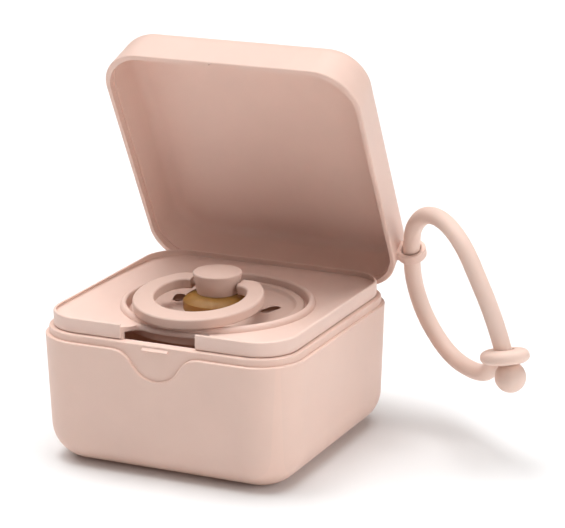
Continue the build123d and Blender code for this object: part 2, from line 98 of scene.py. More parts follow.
# Which way each light lies, seen from the case.
LIGHT_SIDES = {
    "Overhead": (0, 0.1, 1),
    "Front": (0.1, -0.8, 0.6),
    "Left": (-0.5, 0, 0.87),
    "Right": (0.94, -0.1, 0.34),
}


# ---------------------------------------------------------------- what a user would change


def length(name, description, default):
    """A size in metres, shown in the panel as a length."""
    return bpy.props.FloatProperty(
        name=name, description=description, default=default, min=0.0, precision=5, unit="LENGTH"
    )


def colour(name, description, default):
    """A colour that the panel shows as a swatch."""
    return bpy.props.FloatVectorProperty(
        name=name, description=description, default=default, size=3, min=0, max=1, subtype="COLOR"
    )


def angle(name, description, default):
    """An angle, in degrees in the panel."""
    return bpy.props.FloatProperty(
        name=name, description=description, default=math.radians(default), subtype="ANGLE"
    )


def amount(name, description, default, unit="NONE"):
    """A number that can't go below zero."""
    return bpy.props.FloatProperty(
        name=name, description=description, default=default, min=0.0, unit=unit
    )


class CaseColours(bpy.types.PropertyGroup):
    """Colours of the plastics, the latex, the silicone, the pin and the floor."""

    shell: colour("Shells", "Moulded plastic of the base and the lid", (0.79, 0.568, 0.485))
    tray: colour("Tray", "Moulded plastic of the lift-out tray", (0.80, 0.595, 0.518))
    pacifier: colour("Pacifier", "Plastic of the shield, knob and ring", (0.66, 0.478, 0.408))
    latex: colour("Latex", "Amber latex of the nipple", (0.34, 0.16, 0.032))
    strap: colour("Strap", "Silicone of the strap", (0.80, 0.60, 0.515))
    pin: colour("Hinge pin", "Drawn steel wire", (0.62, 0.61, 0.60))
    floor: colour("Floor", "Pale studio floor", (0.86, 0.86, 0.86))


class TraySizes(bpy.types.PropertyGroup):
    """Sizes of the lift-out tray."""

    half_width: length("Half width", "Middle of the tray to its outer wall", 0.03214)
    corner: length("Corner radius", "Outer corner, seen from above", 0.00914)
    wall: length("Wall", "Thickness of the outer wall", 0.0016)
    foot: length("Foot", "Height of the tray's lower edge", 0.024)
    lip: length("Lip", "How far the upper part reaches out over the wall", 0.00075)
    lip_foot: length("Lip foot", "Height of the lip's lower edge", 0.03485)
    rim: length("Rim", "Height of the tray's upper edge", 0.0386)
    rim_round: length("Rim rounding", "Rounding on the tray's upper edge", 0.0004)
    rim_land: length("Rim land", "Flat top of the rim", 0.0007)
    rim_step: length("Rim step", "Upright inside of the rim, down to the deck", 0.0008)
    undercut: length("Undercut", "How far the deck runs in under the rim", 0.00045)
    back_dip: length("Back dip", "How much deeper the deck lies along the back wall", 0.0008)
    corner_hold: amount("Corner hold", "How long the deck's rings keep the rim's corners", 1.5)
    deck: length("Deck", "Height of the deck at the foot of the collar", 0.0358)
    deck_thickness: length("Deck thickness", "Wall thickness of the dished deck", 0.0015)
    collar_inner: length("Collar inside", "Inner radius of the collar", 0.0230)
    collar_outer: length("Collar outside", "Outer radius of the collar", 0.02415)
    collar_top: length("Collar top", "Height of the collar's bead", 0.0372)
    seat: length("Seat", "Height of the ledge that the shield rests on", 0.0340)
    seat_hole: length("Seat hole", "Radius of the hole in the ledge", 0.0195)
    seat_thickness: length("Ledge thickness", "Thickness of the ledge", 0.0015)
    slot_width: length("Slot width", "Width of the slot in the front wall", 0.0204)
    slot_land: length("Slot land", "Strip of deck left between slot and collar", 0.0015)
    slot_round: length("Slot corner", "Rounding where the slot meets the land", 0.0015)
    slot_edge: length("Slot edge", "Softening along the slot's edges", 0.00022)
    land_edge: length("Land edge", "Rounding along the land's front edge", 0.0009)


class ShieldSizes(bpy.types.PropertyGroup):
    """Sizes of the pacifier's shield."""

    radius: length("Radius", "Outer radius of the shield", 0.0220)
    seat: length("Underside", "Height of the rim's underside", 0.0340)
    rim_top: length("Rim top", "Height of the rim bead", 0.0358)
    rim_width: length("Rim width", "Width of the rim bead", 0.0023)
    web_top: length("Web top", "Height of the dished middle", 0.0349)
    web_bottom: length("Web underside", "Underside of the dished middle", 0.0334)
    web_radius: length("Web radius", "Radius of the part that dips into the seat", 0.0193)
    bore: length("Bore", "Radius of the hole for the nipple's neck", 0.00605)
    vent_offset: length("Vent offset", "Middle of a vent beside the shield's middle", 0.0129)
    vent_shift: length("Vent shift", "Middle of a vent behind the shield's middle", 0.0036)
    vent_lean: angle("Vent lean", "How far the vents' back ends turn outwards", 18)
    vent_length: length("Vent length", "Long side of a vent slot", 0.0064)
    vent_width: length("Vent width", "Short side of a vent slot", 0.0028)
    segments: bpy.props.IntProperty(
        name="Segments", description="Steps round the shield", default=128, min=12
    )


class StrapSizes(bpy.types.PropertyGroup):
    """Sizes of the silicone strap."""

    diameter: length("Diameter", "Thickness of the strap", 0.0044)
    upper_length: length("Upper stretch", "From the lid's eye to the ball", 0.0705)
    lower_length: length("Lower stretch", "From the lid's eye to the ring end", 0.0585)
    ring_radius: length("Ring end radius", "Outer radius of the flat ring", 0.00615)
    ring_thickness: length("Ring end thickness", "Thickness of the flat ring", 0.0035)
    ring_place: amount("Ring end place", "Where the ring sits along the last run", 0.49)
    ring_facing: bpy.props.FloatVectorProperty(
        name="Ring end axis",
        description="Which way the flat ring faces",
        default=(0.145, -0.13, -0.98),
    )
    hole_radius: length("Ring hole", "Radius of the hole that the ball goes through", 0.0024)
    ball_radius: length("Ball radius", "Radius of the ball that buttons under the ring", 0.0039)
    ball_sink: length("Ball flat", "How far the strap runs into the ball", 0.00035)


class StudioSettings(bpy.types.PropertyGroup):
    """Camera and light."""

    azimuth: angle("Azimuth", "Camera's place round the case", 26.697)
    elevation: angle("Elevation", "Camera's height over the floor, as an angle", 20.193)
    distance: length("Distance", "From the camera to the middle of the case's foot", 0.65669)
    roll: angle("Roll", "Tilt of the camera to one side", 0.974)
    yaw: angle("Yaw", "Aim to the side of the foot's middle", 1.465)
    pitch: angle("Pitch", "Aim over the foot's middle", -3.853)
    lens: amount("Lens", "Focal length", 162.86, unit="CAMERA")
    overhead: amount("Overhead", "Strength of the soft light overhead", 2.45)
    front: amount("Front", "Strength of the soft light in front", 0.18)
    left: amount("Left", "Strength of the soft light high on the left", 1.43)
    right: amount("Right", "Strength of the soft light low on the right", 1.2)
    room: amount("Room", "Strength of the light from all round", 0.06)


GROUPS = {
    "case_colours": CaseColours,
    "case_tray": TraySizes,
    "case_shield": ShieldSizes,
    "case_strap": StrapSizes,
    "case_studio": StudioSettings,
}


# ---------------------------------------------------------------- nodes


def set_inputs(node, **values):
    """Sets a node's inputs by name, with _ for a space."""
    for name, value in values.items():
        node.inputs[name.replace("_", " ")].default_value = value


def add_node(tree, kind, **values):
    """A new node of that kind, with its named inputs set."""
    node = tree.nodes.new(kind)
    set_inputs(node, **values)
    return node


def add_math(tree, operation, *values):
    """The result of a new math node. Each value is a number, or the output that feeds it."""
    node = tree.nodes.new("ShaderNodeMath")
    node.operation = operation
    for socket, value in zip(node.inputs, values):
        if isinstance(value, bpy.types.NodeSocket):
            tree.links.new(value, socket)
        else:
            socket.default_value = value
    return node.outputs["Value"]


def add_ramp(tree, dark, light, start=0.0, end=1.0):
    """A ramp from a dark tone to a light one."""
    node = tree.nodes.new("ShaderNodeValToRGB")
    stops = node.color_ramp.elements
    stops[0].position, stops[0].color = start, dark
    stops[1].position, stops[1].color = end, light
    return node


# ---------------------------------------------------------------- materials


def shaded(rgb, factor):
    """That colour, lighter or darker, with an alpha of 1."""
    return tuple(min(1.0, value * factor) for value in rgb) + (1.0,)


def new_finish(name):
    """A new material, with its node tree, its shader and the place on the piece that it shades."""
    material = bpy.data.materials.new(name)
    material.use_nodes = True
    tree = material.node_tree
    place = tree.nodes.new("ShaderNodeTexCoord").outputs["Object"]
    return material, tree, tree.nodes["Principled BSDF"], place


def painted_chamber_glow(tree, place, strength, top):
    """A painted glow: an emission strength for faces in the chamber below that height, and 0 for
    all others.
    """
    axes = tree.nodes.new("ShaderNodeSeparateXYZ")
    tree.links.new(place, axes.inputs["Vector"])
    inside = add_math(tree, "LESS_THAN", axes.outputs["Z"], top)
    for axis in "XY":
        aside = add_math(tree, "ABSOLUTE", axes.outputs[axis])
        near = add_math(tree, "LESS_THAN", aside, CHAMBER_HALF)
        inside = add_math(tree, "MULTIPLY", inside, near)
    return add_math(tree, "MULTIPLY", inside, strength)


def moulded(
    name,
    rgb,
    rough,
    grain_size=0.00035,
    grain_depth=0.000006,
    mottle=0.025,
    warm=0.15,
    painted_glow=0.0,
    painted_glow_top=0.0343,
):
    """Moulded plastic or silicone: a slow mottle of shade, a fine grain, and a little light inside.

    Warm is the weight of the light that spreads inside. The last two give a painted glow on faces
    in the chamber: its strength, and the height that it reaches up to."""
    material, tree, shader, place = new_finish(name)
    links = tree.links
    low, high = 0.3, 0.7  # where nearly all of the noise lies
    swing = 0.04  # how far the roughness wanders with it
    cloud = add_node(tree, "ShaderNodeTexNoise", Scale=55.0, Detail=3.0, Roughness=0.6)
    tone = add_ramp(tree, shaded(rgb, 1 - mottle), shaded(rgb, 1 + mottle), low, high)
    gloss = add_node(
        tree,
        "ShaderNodeMapRange",
        From_Min=low,
        From_Max=high,
        To_Min=rough - swing,
        To_Max=rough + swing,
    )
    grain = add_node(tree, "ShaderNodeTexNoise", Scale=1 / grain_size, Detail=2.0)
    relief = add_node(tree, "ShaderNodeBump", Strength=0.5, Distance=grain_depth)
    links.new(place, cloud.inputs["Vector"])
    links.new(cloud.outputs["Fac"], tone.inputs["Fac"])
    links.new(tone.outputs["Color"], shader.inputs["Base Color"])
    links.new(cloud.outputs["Fac"], gloss.inputs["Value"])
    links.new(gloss.outputs["Result"], shader.inputs["Roughness"])
    links.new(place, grain.inputs["Vector"])
    links.new(grain.outputs["Fac"], relief.inputs["Height"])
    links.new(relief.outputs["Normal"], shader.inputs["Normal"])
    if painted_glow:
        # painted light: faces in the chamber glow faintly warm, so the slot and the vents show
        # brown
        glow = painted_chamber_glow(tree, place, painted_glow, painted_glow_top)
        links.new(glow, shader.inputs["Emission Strength"])
        set_inputs(shader, Emission_Color=(1.0, 0.45, 0.27, 1.0))
    set_inputs(
        shader,
        Subsurface_Weight=warm,
        Subsurface_Radius=(1.0, 0.72, 0.6),
        Subsurface_Scale=0.0011,
        Specular_IOR_Level=0.3,
    )
    return material


def amber_latex(name, rgb):
    """Natural latex: cloudy, streaked amber with a soft sheen and light inside."""
    material, tree, shader, place = new_finish(name)
    links = tree.links
    yellower = (rgb[0], rgb[1] * 1.12, rgb[2] * 1.5)
    cloud = add_node(tree, "ShaderNodeTexNoise", Scale=180.0, Detail=4.0, Distortion=1.2)
    tone = add_ramp(tree, shaded(rgb, 0.85), shaded(yellower, 1.12), 0.35, 0.75)
    relief = add_node(tree, "ShaderNodeBump", Strength=0.4, Distance=0.00001)
    links.new(place, cloud.inputs["Vector"])
    links.new(cloud.outputs["Fac"], tone.inputs["Fac"])
    links.new(tone.outputs["Color"], shader.inputs["Base Color"])
    links.new(cloud.outputs["Fac"], relief.inputs["Height"])
    links.new(relief.outputs["Normal"], shader.inputs["Normal"])
    set_inputs(
        shader,
        Roughness=0.45,
        Specular_IOR_Level=0.3,
        Subsurface_Weight=0.4,
        Subsurface_Radius=(1.0, 0.5, 0.12),
        Subsurface_Scale=0.003,
    )
    return material


def drawn_steel(name, rgb):
    """Steel wire with faint drawing lines along it."""
    material, tree, shader, place = new_finish(name)
    links = tree.links
    stretch = add_node(tree, "ShaderNodeMapping", Scale=(0.08, 1.0, 1.0))
    lines = add_node(tree, "ShaderNodeTexNoise", Scale=5000.0, Detail=2.0)
    tone = add_ramp(tree, shaded(rgb, 0.85), shaded(rgb, 1.05))
    links.new(place, stretch.inputs["Vector"])
    links.new(stretch.outputs["Vector"], lines.inputs["Vector"])
    links.new(lines.outputs["Fac"], tone.inputs["Fac"])
    links.new(tone.outputs["Color"], shader.inputs["Base Color"])
    set_inputs(shader, Metallic=1.0, Roughness=0.34)
    return material


def finish_of(scene, slot):
    """The material of one slot of the record, made once."""
    name = slot + "_finish"
    if name in bpy.data.materials:
        return bpy.data.materials[name]
    colours = scene.case_colours
    # the case, tray and pacifier plastics glow faintly inside the chamber: painted light
    if slot == "case_plastic":
        return moulded(name, colours.shell, rough=0.46, painted_glow=0.02)
    if slot == "tray_plastic":
        return moulded(name, colours.tray, rough=0.48, painted_glow=0.015)
    if slot == "pacifier_plastic":
        return moulded(
            name, colours.pacifier, rough=0.52, grain_size=0.0003, painted_glow=0.04, painted_glow_top=0.03485
        )
    if slot == "strap_silicone":
        return moulded(name, colours.strap, rough=0.55, grain_depth=0.000008, warm=0.2)
    if slot == "amber_latex":
        return amber_latex(name, colours.latex)
    if slot == "pin_steel":
        return drawn_steel(name, colours.pin)
    raise ValueError(f"no finish is written for the slot {slot}")


# ---------------------------------------------------------------- meshes


def new_piece(name, mesh, body, slot, replaced=()):
    """Puts a finished mesh in the scene as a piece that rides on a body."""
    piece = bpy.data.objects.new(name, mesh)
    bpy.context.scene.collection.objects.link(piece)
    mesh.materials.clear()
    mesh.materials.append(finish_of(bpy.context.scene, slot))
    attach(piece, body)
    if replaced:
        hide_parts(*replaced)
    return piece


def dress(scene, slots):
    """Gives solids of the frame the finish of their slot."""
    for name, slot in slots.items():
        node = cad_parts[name]
        node.data.materials.clear()
        node.data.materials.append(finish_of(scene, slot))


def smooth(mesh, crease=40):
    """Smooth shading, with a crease where faces meet at more than that many degrees."""
    mesh.shade_smooth()
    mesh.set_sharp_from_angle(angle=math.radians(crease))


def even_shading(piece):
    """Shades flats flat and roundings round, because large faces count for more."""
    modifier = piece.modifiers.new("Even shading", "WEIGHTED_NORMAL")
    modifier.keep_sharp = True
    modifier.weight = 60


def face_outwards(mesh):
    """Turns a closed mesh's faces outwards."""
    shape = bmesh.new()
    shape.from_mesh(mesh)
    bmesh.ops.recalc_face_normals(shape, faces=shape.faces)
    shape.to_mesh(mesh)
    shape.free()


def lofted(name, rings, closed=False):
    """A mesh through rings of as many points each. Closed joins the last ring to the first."""
    count = len(rings[0])
    points = [point for ring in rings for point in ring]
    faces = []
    pairs = len(rings) if closed else len(rings) - 1
    for level in range(pairs):
        a, b = level * count, ((level + 1) % len(rings)) * count
        for i in range(count):
            j = (i + 1) % count
            faces.append((a + i, a + j, b + j, b + i))
    if not closed:
        faces.append(tuple(reversed(range(count))))
        faces.append(tuple(range(len(points) - count, len(points))))
    mesh = bpy.data.meshes.new(name)
    mesh.from_pydata(points, [], faces)
    face_outwards(mesh)
    return mesh


def square_ring(half, corner, height, side_steps=22, corner_steps=12):
    """Points round a rounded square, anticlockwise from the right side."""
    straight = half - corner
    points = []
    for quarter in range(4):
        turn = Matrix.Rotation(quarter * math.pi / 2, 3, "Z")
        for i in range(side_steps):
            points.append(turn @ Vector((half, straight * (2 * i / side_steps - 1), height)))
        for i in range(corner_steps):
            a = math.pi / 2 * i / corner_steps
            x, y = straight + corner * math.cos(a), straight + corner * math.sin(a)
            points.append(turn @ Vector((x, y, height)))
    return points


def round_ring(radius, height, like):
    """Points round a circle, each in the direction of the one in another ring."""
    points = []
    for point in like:
        flat = Vector((point.x, point.y, 0)).normalized() * radius
        points.append(Vector((flat.x, flat.y, height)))
    return points


def square_point(towards, half, corner, height):
    """The point of a rounded square's outline that lies in the direction of another point."""
    u, v = sorted((abs(towards.x), abs(towards.y)), reverse=True)
    u, v = u / math.hypot(u, v), v / math.hypot(u, v)
    middle = half - corner
    reach = half / u
    if reach * v > middle:
        along = middle * (u + v)
        reach = along + math.sqrt(max(0.0, along**2 - 2 * middle**2 + corner**2))
    flat = Vector((towards.x, towards.y, 0)).normalized() * reach
    return Vector((flat.x, flat.y, height))


def between(ring_a, ring_b, share):
    """The ring that lies that share of the way from one ring to another."""
    return [a.lerp(b, share) for a, b in zip(ring_a, ring_b)]


def arc(centre, radius, start, end, steps):
    """Points (radius, height) along an arc of a section, angles in degrees."""
    points = []
    for i in range(steps + 1):
        a = math.radians(start + (end - start) * i / steps)
        points.append((centre[0] + radius * math.cos(a), centre[1] + radius * math.sin(a)))
    return points


def evaluated_mesh(item):
    """A new mesh of an object with its modifiers applied."""
    return bpy.data.meshes.new_from_object(
        item.evaluated_get(bpy.context.evaluated_depsgraph_get())
    )


def cut(name, mesh, cutter):
    """The mesh with a closed cutter taken out of it."""
    whole = bpy.data.objects.new(name, mesh)
    tool = bpy.data.objects.new(name + "_cutter", cutter)
    for item in (whole, tool):
        bpy.context.scene.collection.objects.link(item)
    modifier = whole.modifiers.new("Cut", "BOOLEAN")
    modifier.operation = "DIFFERENCE"
    modifier.solver = "EXACT"
    modifier.object = tool
    left = evaluated_mesh(whole)
    for item in (whole, tool):
        bpy.data.objects.remove(item)
    return left


def soften(mesh, width, least, chosen, steps=3):
    """Rounds edges of at least that many degrees, where a test on their two ends chooses them."""
    shape = bmesh.new()
    shape.from_mesh(mesh)
    bmesh.ops.remove_doubles(shape, verts=shape.verts, dist=1e-7)
    edges = [
        edge
        for edge in shape.edges
        if len(edge.link_faces) == 2
        and edge.calc_face_angle(0) > math.radians(least)
        and all(chosen(vertex.co) for vertex in edge.verts)
    ]
    bmesh.ops.bevel(
        shape,
        geom=edges,
        offset=width,
        segments=steps,
        profile=0.5,
        affect="EDGES",
        clamp_overlap=True,
    )
    shape.to_mesh(mesh)
    shape.free()


# ---------------------------------------------------------------- turned pieces


def turned_tree():
    """Geometry Nodes: turns a section about Z and cuts a mirrored pair of vents through it.

    With a vent length of 0 the piece stays whole."""
    tree = bpy.data.node_groups.new("Turned piece", "GeometryNodeTree")
    sockets = {}
    for name, kind, default in (
        ("Section", "NodeSocketGeometry", None),
        ("Segments", "NodeSocketInt", 128),
        ("Vent offset", "NodeSocketFloat", 0.0129),
        ("Vent shift", "NodeSocketFloat", 0.0),
        ("Vent lean", "NodeSocketFloat", 0.0),
        ("Vent length", "NodeSocketFloat", 0.0),
        ("Vent width", "NodeSocketFloat", 0.0028),
        ("Vent height", "NodeSocketFloat", 0.035),
        ("Material", "NodeSocketMaterial", None),
    ):
        socket = tree.interface.new_socket(name, in_out="INPUT", socket_type=kind)
        if default is not None:
            socket.default_value = default
        sockets[name] = socket.identifier
    tree.interface.new_socket("Piece", in_out="OUTPUT", socket_type="NodeSocketGeometry")
    nodes, links = tree.nodes, tree.links
    given = nodes.new("NodeGroupInput")
    # the section is drawn as radius along X and height along Z, and swept round a tiny circle
    hub = 0.0001
    upright = add_node(
        tree, "GeometryNodeTransform", Rotation=(math.pi / 2, 0, 0), Translation=(-hub, 0, 0)
    )
    section = nodes.new("GeometryNodeMeshToCurve")
    circle = add_node(tree, "GeometryNodeCurvePrimitiveCircle", Radius=hub)
    sweep = nodes.new("GeometryNodeCurveToMesh")
    weld = add_node(tree, "GeometryNodeMergeByDistance", Distance=1e-6)
    links.new(given.outputs["Section"], upright.inputs["Geometry"])
    links.new(upright.outputs["Geometry"], section.inputs["Mesh"])
    links.new(given.outputs["Segments"], circle.inputs["Resolution"])
    links.new(circle.outputs["Curve"], sweep.inputs["Curve"])
    links.new(section.outputs["Curve"], sweep.inputs["Profile Curve"])
    links.new(sweep.outputs["Mesh"], weld.inputs["Geometry"])
    # one vent's cutter: a rectangle with its ends rounded to just under half its width, filled
    # and pushed upwards, with its first face kept as the lower end
    bar = nodes.new("GeometryNodeCurvePrimitiveQuadrilateral")
    rounding = add_math(tree, "MULTIPLY", given.outputs["Vent width"], 0.499)
    ends = nodes.new("GeometryNodeFilletCurve")
    ends.mode = "POLY"
    set_inputs(ends, Count=10)
    fill = nodes.new("GeometryNodeFillCurve")
    push = add_node(tree, "GeometryNodeExtrudeMesh", Offset_Scale=0.006)
    lower = nodes.new("GeometryNodeFlipFaces")
    both = nodes.new("GeometryNodeJoinGeometry")
    shut = add_node(tree, "GeometryNodeMergeByDistance", Distance=1e-7)
    links.new(given.outputs["Vent width"], bar.inputs["Width"])
    links.new(given.outputs["Vent length"], bar.inputs["Height"])
    links.new(bar.outputs["Curve"], ends.inputs["Curve"])
    links.new(rounding, ends.inputs["Radius"])
    links.new(ends.outputs["Curve"], fill.inputs["Curve"])
    links.new(fill.outputs["Mesh"], push.inputs["Mesh"])
    links.new(fill.outputs["Mesh"], lower.inputs["Mesh"])
    links.new(push.outputs["Mesh"], both.inputs["Geometry"])
    links.new(lower.outputs["Mesh"], both.inputs["Geometry"])
    links.new(both.outputs["Geometry"], shut.inputs["Geometry"])
    # one vent on each side, mirrored
    pair = nodes.new("GeometryNodeJoinGeometry")
    for side in (1, -1):
        offset = add_math(tree, "MULTIPLY", given.outputs["Vent offset"], side)
        lean = add_math(tree, "MULTIPLY", given.outputs["Vent lean"], -side)
        spot = nodes.new("ShaderNodeCombineXYZ")
        heading = nodes.new("ShaderNodeCombineXYZ")
        place = nodes.new("GeometryNodeTransform")
        links.new(offset, spot.inputs["X"])
        links.new(given.outputs["Vent shift"], spot.inputs["Y"])
        links.new(given.outputs["Vent height"], spot.inputs["Z"])
        links.new(lean, heading.inputs["Z"])
        links.new(shut.outputs["Geometry"], place.inputs["Geometry"])
        links.new(spot.outputs["Vector"], place.inputs["Translation"])
        links.new(heading.outputs["Vector"], place.inputs["Rotation"])
        links.new(place.outputs["Geometry"], pair.inputs["Geometry"])
    cutters = nodes.new("GeometryNodeRealizeInstances")
    links.new(pair.outputs["Geometry"], cutters.inputs["Geometry"])
    take_out = nodes.new("GeometryNodeMeshBoolean")
    take_out.operation = "DIFFERENCE"
    take_out.solver = "EXACT"
    links.new(weld.outputs["Geometry"], take_out.inputs["Mesh 1"])
    links.new(cutters.outputs["Geometry"], take_out.inputs["Mesh 2"])
    realize = nodes.new("GeometryNodeRealizeInstances")
    paint = nodes.new("GeometryNodeSetMaterial")
    result = nodes.new("NodeGroupOutput")
    links.new(take_out.outputs["Mesh"], realize.inputs["Geometry"])
    links.new(realize.outputs["Geometry"], paint.inputs["Geometry"])
    links.new(given.outputs["Material"], paint.inputs["Material"])
    links.new(paint.outputs["Geometry"], result.inputs["Piece"])
    return tree, sockets


def turned(name, section, slot, ring=False, **inputs):
    """A plain mesh turned from section points (radius, height). Ring closes the section."""
    tree, sockets = turned_tree()
    points = [(radius, 0, height) for radius, height in section]
    edges = [(i, i + 1) for i in range(len(points) - 1)]
    if ring:
        edges.append((len(points) - 1, 0))
    line = bpy.data.meshes.new(name)
    line.from_pydata(points, edges, [])
    holder = bpy.data.objects.new(name + "_section", line)
    bpy.context.scene.collection.objects.link(holder)
    modifier = holder.modifiers.new("Turned piece", "NODES")
    modifier.node_group = tree
    modifier[sockets["Material"]] = finish_of(bpy.context.scene, slot)
    for key, value in inputs.items():
        modifier[sockets[key.replace("_", " ")]] = value
    bpy.context.view_layer.update()
    mesh = evaluated_mesh(holder)
    mesh.name = name
    bpy.data.objects.remove(holder)
    bpy.data.node_groups.remove(tree)
    face_outwards(mesh)
    return mesh


# ---------------------------------------------------------------- the tray's shapes


def tray_rings(t):
    """Rings of the tray's closed skin: up the wall, in over the deck, and back out underneath."""
    corner_middle = t.half_width - t.corner
    lip = t.half_width + t.lip
    inside = lip - t.rim_land
    dish_top = t.rim - t.rim_step

    def wall_ring(half, height):
        return square_ring(half, half - corner_middle, height)

    def dipped(ring, share):
        for point in ring:
            back = min(1.0, max(0.0, point.y / corner_middle - DIP_START))
            point.z -= t.back_dip * share * back
        return ring

    lip_fold, lip_edge, inner_edge = 0.1 * MM, 0.15 * MM, 0.15 * MM
    profile = [
        (t.half_width, t.foot),
        (t.half_width, t.lip_foot - lip_fold),
        (t.half_width + lip_fold, t.lip_foot),
        (lip - lip_edge, t.lip_foot),
        (lip, t.lip_foot + lip_edge),
    ]
    profile += arc((lip - t.rim_round, t.rim - t.rim_round), t.rim_round, 0, 90, 5)
    profile += arc((inside + inner_edge, t.rim - inner_edge), inner_edge, 90, 180, 3)
    rings = [wall_ring(half, height) for half, height in profile]
    # the fold at the foot of the rim's step, in under the rim
    fold = 0.2 * MM
    hidden = inside + t.undercut
    for half, height in arc((hidden - fold, dish_top + fold), fold, 0, -70, 3):
        rings.append(dipped(wall_ring(half, height), 1))

    # the deck falls to the collar in rings that turn from a square into a circle
    rim_in = rings[-1]
    foot = t.collar_outer + 0.5 * MM
    start = rim_in[0].x
    diagonal = math.sqrt(2)
    start_reach = start * diagonal - (start - corner_middle) * (diagonal - 1)
    for share in DECK_SHARES:
        half = start + (foot - start) * share
        reach = start_reach + (foot - start_reach) * share**t.corner_hold
        corner = (half * diagonal - reach) / (diagonal - 1)
        height = dish_top + (t.deck - dish_top) * share
        ring = [square_point(point, half, corner, height) for point in rim_in]
        rings.append(dipped(ring, max(0.0, 1 - share / DIP_END)))

    # the collar: a quarter ellipse from the deck to its top, a bead, and down to the ledge
    collar = []
    bead = (t.collar_outer - t.collar_inner) / 2
    flare = foot - t.collar_inner - bead
    flare_steps = 9
    for i in range(1, flare_steps + 1):
        a = math.pi / 2 * i / flare_steps
        collar.append(
            (
                t.collar_inner + bead + flare * math.cos(a),
                t.deck + (t.collar_top - t.deck) * math.sin(a),
            )
        )
    collar += arc((t.collar_inner + bead, t.collar_top - bead), bead, 108, 180, 5)
    edge = 0.3 * MM
    collar += [
        (t.collar_inner, t.seat + edge),
        (t.collar_inner - edge, t.seat),
        (t.seat_hole + edge, t.seat),
        (t.seat_hole, t.seat - edge),
        (t.seat_hole, t.seat - t.seat_thickness),
        (t.collar_outer, t.seat - t.seat_thickness),
        (t.collar_outer, t.deck - t.deck_thickness),
    ]
    rings += [round_ring(radius, height, rim_in) for radius, height in collar]
    # underneath, out to the wall, a little lower than the deck, and down inside it
    drop = 0.25 * MM
    under_rim = wall_ring(t.half_width - t.wall, dish_top - t.deck_thickness - drop)
    rings.append(between(rings[-1], under_rim, 0.5))
    rings.append(under_rim)
    rings.append(wall_ring(t.half_width - t.wall, t.foot))
    return rings


def slot_outline(t, land, height):
    """The slot at one height: in from the front to a land that lies round the collar."""
    half, near = t.slot_width / 2, t.slot_round
    overhang = 2 * MM
    corner_steps, land_steps = 6, 24
    turn_y = -math.sqrt((land + near) ** 2 - (half - near) ** 2)
    centre = Vector((half - near, turn_y))
    outline = [(half, -t.half_width - overhang)]
    on_land = math.atan2(-centre.y, -centre.x)
    for i in range(corner_steps + 1):
        a = on_land * i / corner_steps
        outline.append((centre.x + near * math.cos(a), centre.y + near * math.sin(a)))
    one_side = list(outline)
    reach = math.atan2(centre.x, -centre.y)
    for i in range(1, land_steps):
        a = reach * (1 - 2 * i / land_steps)
        outline.append((land * math.sin(a), -land * math.cos(a)))
    outline += [(-x, y) for x, y in reversed(one_side)]
    return [Vector((x, y, height)) for x, y in outline]


def slot_tool(t):
    """The slot's cutter. It widens upwards, which rounds the land's front edge."""
    land = t.collar_outer + t.slot_land
    low, high = t.deck - t.deck_thickness, t.rim + 3 * MM
    bend = low + 0.2 * MM
    edge_steps = 6
    levels = [slot_outline(t, land, low), slot_outline(t, land, bend)]
    for i in range(1, edge_steps + 1):
        a = math.pi / 2 * i / edge_steps
        back = t.land_edge * (1 - math.cos(a))
        levels.append(slot_outline(t, land - back, bend + (t.deck - low) * math.sin(a)))
    levels.append(slot_outline(t, land - t.land_edge, high))
    return lofted("slot_tool", levels)


# ---------------------------------------------------------------- operators


class CASE_OT_shells(bpy.types.Operator):
    """Dress the base shell, the lid and the hinge pin"""

    bl_idname = "case.shells"
    bl_label = "Shells and pin"

    def execute(self, context):
        dress(
            context.scene,
            {"base_shell": "case_plastic", "lid": "case_plastic", "hinge_pin": "pin_steel"},
        )
        return {"FINISHED"}


class CASE_OT_tray(bpy.types.Operator):
    """Build the lift-out tray with its dished deck, collar and slot"""

    bl_idname = "case.tray"
    bl_label = "Tray"

    def execute(self, context):
        t = context.scene.case_tray
        mesh = lofted("sterilizer_tray_skin", tray_rings(t), closed=True)
        mesh = cut("sterilizer_tray_skin", mesh, slot_tool(t))
        # the slot's own edges are softened: the box that they lie in, with a margin
        margin = 0.4 * MM
        aside = t.slot_width / 2 + margin
        front = -(t.collar_outer + t.slot_land) * 0.9
        low = t.deck - t.deck_thickness - margin
        soften(
            mesh, t.slot_edge, 30, lambda at: abs(at.x) < aside and at.y < front and at.z > low
        )
        smooth(mesh)
        tray = new_piece(
            "sterilizer_tray_skin", mesh, "case", "tray_plastic", ["sterilizer_tray"]
        )
        even_shading(tray)
        return {"FINISHED"}


